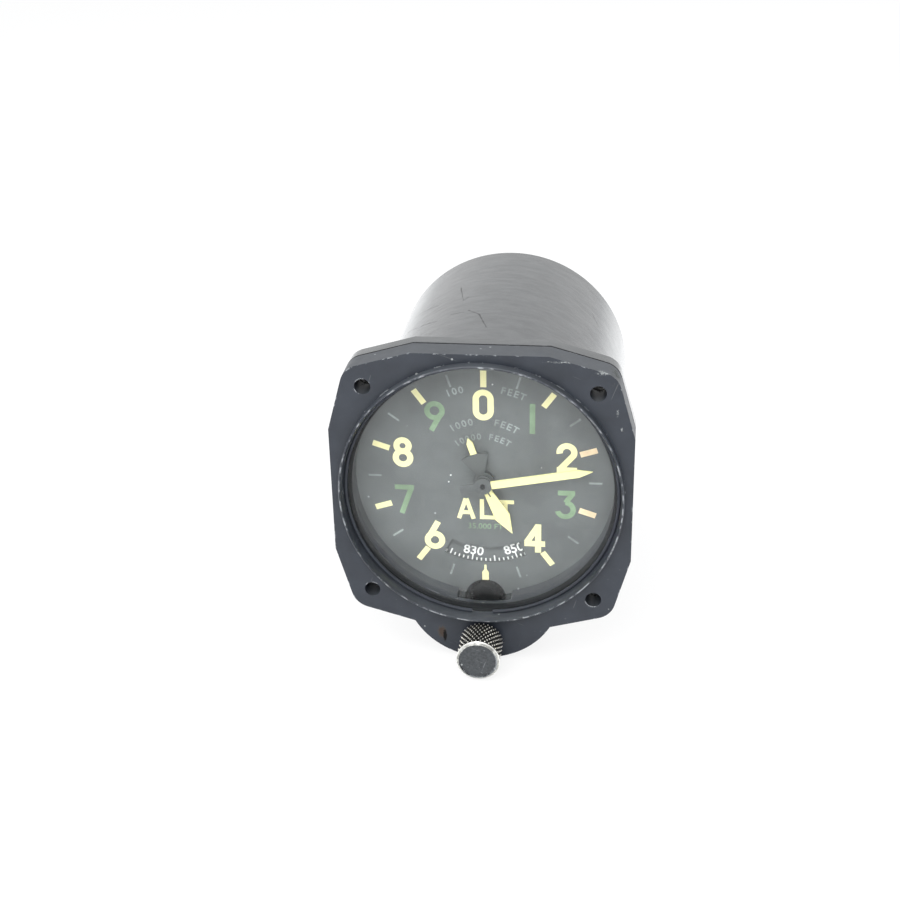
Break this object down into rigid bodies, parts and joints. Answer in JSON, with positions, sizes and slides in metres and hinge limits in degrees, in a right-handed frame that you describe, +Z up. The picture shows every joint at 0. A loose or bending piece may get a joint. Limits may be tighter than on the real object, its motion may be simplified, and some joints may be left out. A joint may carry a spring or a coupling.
{
  "type": "aircraft altimeter",
  "caption": "Panel-mounted aircraft altimeter: flanged black can, glazed dial with nested pointers, pressure scale window and a knurled setting knob, with its geared aneroid movement.",
  "frame": {"origin": "centre of the flange's front face, on the pointer axis and in the middle of the panel screw holes", "axes": "+X to the right as the dial is read, +Y from the dial into the case, +Z up"},
  "size_m": [0.083, 0.1272, 0.0941],
  "materials": {
    "bezel_paint": "worn satin black",
    "case_paint": "semi-gloss black",
    "inner_black": "matt black",
    "glass": "clear",
    "rubber": "matt",
    "steel": "turned",
    "dial_paint": "matt",
    "scale_paint": "matt",
    "brass": "fine turned",
    "capsule_bronze": "pressed",
    "spring_blue": "blued",
    "knob_paint": "knurled, worn",
    "pointer_cream": "matt",
    "blackened": "blackened",
    "link_alloy": "satin",
    "pointer_black": "matt"
  },
  "bodies": {
    "case": {"bezel": "bezel_paint", "cover_glass": "glass", "glass_gasket": "rubber", "glass_snap_ring": "blackened", "dial_spacer_ring": "inner_black", "dial_plate": "dial_paint", "case_gasket": "rubber", "case_flange": "case_paint", "case_shell": "case_paint", "case_screws": "steel", "static_port": "brass", "port_washer": "rubber", "setting_bush": "steel", "shaft_seal": "rubber", "idler_stud": "blackened", "front_plate": "brass", "plate_screws": "steel", "pointer_bush": "brass", "train_plate": "brass", "middle_plate": "brass", "rear_plate": "brass", "front_pillars": "brass", "middle_pillars": "brass", "rear_pillars": "brass", "tie_bolts": "steel", "capsule_bracket": "steel", "bracket_screws": "steel", "capsule_stack": "capsule_bronze", "capsule_nut": "brass", "cock_pillars": "brass", "shaft_cock": "brass", "hairspring": "spring_blue", "spring_stud": "steel"},
    "knob": {"setting_knob": "knob_paint", "knob_shaft": "steel", "setting_pinion": "brass", "knob_grub_screw": "steel", "shaft_clip": "steel"},
    "idler": {"idler_gear": "blackened"},
    "pressure_scale": {"baro_scale": "scale_paint", "baro_gear": "brass", "scale_rivets": "brass"},
    "hundreds": {"pointer_100": "pointer_cream", "pointer_staff": "blackened"},
    "thousands_step": {"thousands_arbor": "steel", "thousands_wheel": "brass"},
    "thousands": {"pointer_1000": "pointer_cream", "thousands_sleeve": "steel", "thousands_gear": "brass"},
    "ten_thousands_step": {"ten_thousands_arbor": "steel", "ten_thousands_wheel": "brass"},
    "ten_thousands": {"pointer_10000": "pointer_black", "ten_thousands_sleeve": "steel", "ten_thousands_gear": "brass"},
    "drive": {"drive_arbor": "steel", "drive_wheel": "brass"},
    "rocker": {"rocking_shaft": "steel", "sector_gear": "brass", "rocking_crank": "steel"},
    "link": {"capsule_link": "link_alloy"}
  },
  "joints": [
    {"name": "knob_turn", "type": "hinge", "parent": "case", "child": "knob", "pos_m": [0, 0, -0.046], "axis": [0, 1, 0], "range_deg": [-571.2, 3395.47]},
    {"name": "idler_turn", "type": "hinge", "parent": "case", "child": "idler", "pos_m": [0, 0, -0.0385], "axis": [0, 1, 0], "range_deg": [-2264.14, 381.3]},
    {"name": "scale_turn", "type": "hinge", "parent": "case", "child": "pressure_scale", "pos_m": [0, 0, 0], "axis": [0, 1, 0], "range_deg": [-50.9, 300.1]},
    {"name": "hundreds_turn", "type": "hinge", "parent": "case", "child": "hundreds", "pos_m": [0, 0, 0], "axis": [0, 1, 0], "range_deg": [-1519.2, 11080.8]},
    {"name": "thousands_step_turn", "type": "hinge", "parent": "case", "child": "thousands_step", "pos_m": [-0.00797, 0, 0.00668], "axis": [0, 1, 0], "range_deg": [-3324.74, 456.26]},
    {"name": "thousands_turn", "type": "hinge", "parent": "case", "child": "thousands", "pos_m": [0, 0, 0], "axis": [0, 1, 0], "range_deg": [-152.42, 1108.58]},
    {"name": "ten_thousands_step_turn", "type": "hinge", "parent": "case", "child": "ten_thousands_step", "pos_m": [0.00797, 0, -0.00668], "axis": [0, 1, 0], "range_deg": [-332.92, 46.08]},
    {"name": "ten_thousands_turn", "type": "hinge", "parent": "case", "child": "ten_thousands", "pos_m": [0, 0, 0], "axis": [0, 1, 0], "range_deg": [-15.69, 111.31]},
    {"name": "drive_turn", "type": "hinge", "parent": "case", "child": "drive", "pos_m": [-0.00964, 0, -0.01149], "axis": [0, 1, 0], "range_deg": [-1231.7, 169.3]},
    {"name": "rocker_turn", "type": "hinge", "parent": "case", "child": "rocker", "pos_m": [0.01244, 0, 0.00126], "axis": [0, 1, 0], "range_deg": [-11.05, 77.45], "deforming": ["hairspring"]},
    {"name": "link_slide", "type": "slide", "parent": "case", "child": "link", "axis": [1, 0, 0], "range_m": [-0.00085, 0.00557], "deforming": ["capsule_stack"]}
  ],
  "couplings": [
    {"joint": "idler_turn", "follows": "knob_turn", "ratio": -0.66667},
    {"joint": "scale_turn", "follows": "knob_turn", "ratio": 0.088235},
    {"joint": "thousands_step_turn", "follows": "hundreds_turn", "ratio": -0.3},
    {"joint": "thousands_turn", "follows": "hundreds_turn", "ratio": 0.1},
    {"joint": "ten_thousands_step_turn", "follows": "hundreds_turn", "ratio": -0.03},
    {"joint": "ten_thousands_turn", "follows": "hundreds_turn", "ratio": 0.01},
    {"joint": "drive_turn", "follows": "hundreds_turn", "ratio": -0.11111},
    {"joint": "rocker_turn", "follows": "hundreds_turn", "ratio": 0.0069444},
    {"joint": "link_slide", "follows": "hundreds_turn", "m_per_rad": 0.000028301}
  ]
}
